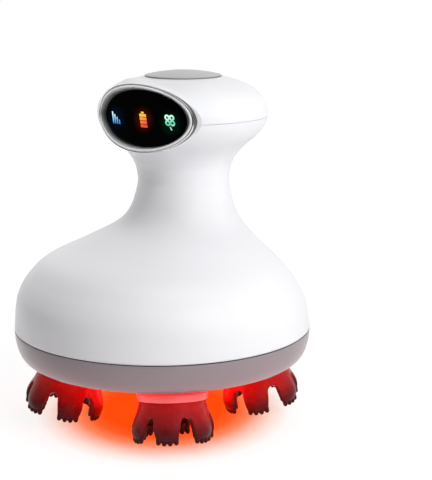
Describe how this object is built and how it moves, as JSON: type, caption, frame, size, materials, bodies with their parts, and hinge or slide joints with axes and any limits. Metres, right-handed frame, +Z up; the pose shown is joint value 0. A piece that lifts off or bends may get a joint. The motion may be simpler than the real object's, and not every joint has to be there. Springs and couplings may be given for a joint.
{
  "type": "electric scalp massager",
  "caption": "Hand-held electric scalp massager: domed white body with a neck and oval display head, over splayed rotating silicone claws lit from the red underside.",
  "frame": {"origin": "on the table, under the middle of the round base", "axes": "+Z up; the display faces -Y; +X to the right of someone looking at the display's back"},
  "size_m": [0.116, 0.1164, 0.1361],
  "materials": {
    "white_gloss": "gloss white ABS",
    "chrome_ring": "bright plated",
    "display_black": "gloss black window",
    "board_green": "solder mask",
    "board_white": "white solder mask",
    "icon_blue": "lit icon",
    "icon_amber": "lit icon",
    "icon_green": "lit icon",
    "button_grey": "satin grey",
    "switch_black": "matt",
    "steel": "satin",
    "rim_grey": "satin grey ABS",
    "gasket_dark": "dark rubber",
    "clear_red": "translucent red",
    "led_red": "lit lamp",
    "frame_plastic": "black ABS",
    "gearbox_grey": "grey",
    "gear_nylon": "natural nylon",
    "socket_nylon": "natural nylon",
    "core_red": "translucent red plastic",
    "claw_silicone": "dark red silicone, satin",
    "seal_rubber": "black rubber",
    "bronze": "sintered bronze",
    "cell_sleeve": "shrink sleeve",
    "cover_rubber": "white silicone"
  },
  "bodies": {
    "root": {"main_housing": "white_gloss", "head_cover": "white_gloss", "display_bezel": "chrome_ring", "display_window": "display_black", "display_board": "board_green", "icon_bars": "icon_blue", "icon_battery": "icon_amber", "icon_clover": "icon_green", "switch_board": "board_green", "button_switch": "switch_black", "switch_screws": "steel", "base_rim": "rim_grey", "seam_gasket": "gasket_dark", "light_floor": "clear_red", "led_board": "board_white", "red_leds": "led_red", "drive_plate": "frame_plastic", "plate_screws": "steel", "base_screws": "steel", "motor_gearbox": "gearbox_grey", "motor_can": "steel", "control_board": "board_green", "battery_cell": "cell_sleeve", "battery_cradle": "frame_plastic", "charge_socket": "steel", "shaft_seal_front_right": "seal_rubber", "shaft_bush_front_right": "bronze", "shaft_seal_front_left": "seal_rubber", "shaft_bush_front_left": "bronze", "shaft_seal_rear_right": "seal_rubber", "shaft_bush_rear_right": "bronze", "shaft_seal_rear_left": "seal_rubber", "shaft_bush_rear_left": "bronze"},
    "sun": {"sun_gear": "gear_nylon", "motor_shaft": "steel"},
    "button": {"power_button": "button_grey"},
    "port_flap": {"port_cover": "cover_rubber"},
    "socket_front_right": {"head_socket_front_right": "socket_nylon", "head_gear_front_right": "gear_nylon"},
    "head_front_right": {"head_core_front_right": "core_red", "plug_ring_front_right": "seal_rubber", "massage_claw_front_right": "claw_silicone"},
    "socket_front_left": {"head_socket_front_left": "socket_nylon", "head_gear_front_left": "gear_nylon"},
    "head_front_left": {"head_core_front_left": "core_red", "plug_ring_front_left": "seal_rubber", "massage_claw_front_left": "claw_silicone"},
    "socket_rear_right": {"head_socket_rear_right": "socket_nylon", "head_gear_rear_right": "gear_nylon"},
    "head_rear_right": {"head_core_rear_right": "core_red", "plug_ring_rear_right": "seal_rubber", "massage_claw_rear_right": "claw_silicone"},
    "socket_rear_left": {"head_socket_rear_left": "socket_nylon", "head_gear_rear_left": "gear_nylon"},
    "head_rear_left": {"head_core_rear_left": "core_red", "plug_ring_rear_left": "seal_rubber", "massage_claw_rear_left": "claw_silicone"}
  },
  "joints": [
    {"name": "sun_spin", "type": "hinge", "parent": "root", "child": "sun", "pos_m": [0, 0, 0.0294], "axis": [0, 0, 1], "continuous": true},
    {"name": "head_spin_front_right", "type": "hinge", "parent": "root", "child": "socket_front_right", "pos_m": [0.0242, -0.0242, 0.03221], "axis": [-0.141, 0.141, 0.9799], "continuous": true},
    {"name": "head_pull_front_right", "type": "slide", "parent": "socket_front_right", "child": "head_front_right", "axis": [0.141, -0.141, -0.9799], "range_m": [0, 0.01]},
    {"name": "head_spin_front_left", "type": "hinge", "parent": "root", "child": "socket_front_left", "pos_m": [-0.0242, -0.0242, 0.03221], "axis": [0.141, 0.141, 0.9799], "continuous": true},
    {"name": "head_pull_front_left", "type": "slide", "parent": "socket_front_left", "child": "head_front_left", "axis": [-0.141, -0.141, -0.9799], "range_m": [0, 0.01]},
    {"name": "head_spin_rear_right", "type": "hinge", "parent": "root", "child": "socket_rear_right", "pos_m": [0.0242, 0.0242, 0.03221], "axis": [-0.141, -0.141, 0.9799], "continuous": true},
    {"name": "head_pull_rear_right", "type": "slide", "parent": "socket_rear_right", "child": "head_rear_right", "axis": [0.141, 0.141, -0.9799], "range_m": [0, 0.01]},
    {"name": "head_spin_rear_left", "type": "hinge", "parent": "root", "child": "socket_rear_left", "pos_m": [-0.0242, 0.0242, 0.03221], "axis": [0.141, -0.141, 0.9799], "continuous": true},
    {"name": "head_pull_rear_left", "type": "slide", "parent": "socket_rear_left", "child": "head_rear_left", "axis": [-0.141, 0.141, -0.9799], "range_m": [0, 0.01]},
    {"name": "button_press", "type": "slide", "parent": "root", "child": "button", "axis": [0, 0, -1], "range_m": [0, 0.0008], "stiffness_N_per_m": 1500, "springref_m": -0.0004},
    {"name": "port_flap_swing", "type": "hinge", "parent": "root", "child": "port_flap", "pos_m": [0, 0.05588, 0.0476], "axis": [1, 0, 0], "range_deg": [0, 110]}
  ],
  "couplings": [
    {"joint": "head_spin_front_right", "follows": "sun_spin", "ratio": -0.81818},
    {"joint": "head_spin_front_left", "follows": "sun_spin", "ratio": -0.81818},
    {"joint": "head_spin_rear_right", "follows": "sun_spin", "ratio": -0.81818},
    {"joint": "head_spin_rear_left", "follows": "sun_spin", "ratio": -0.81818}
  ]
}
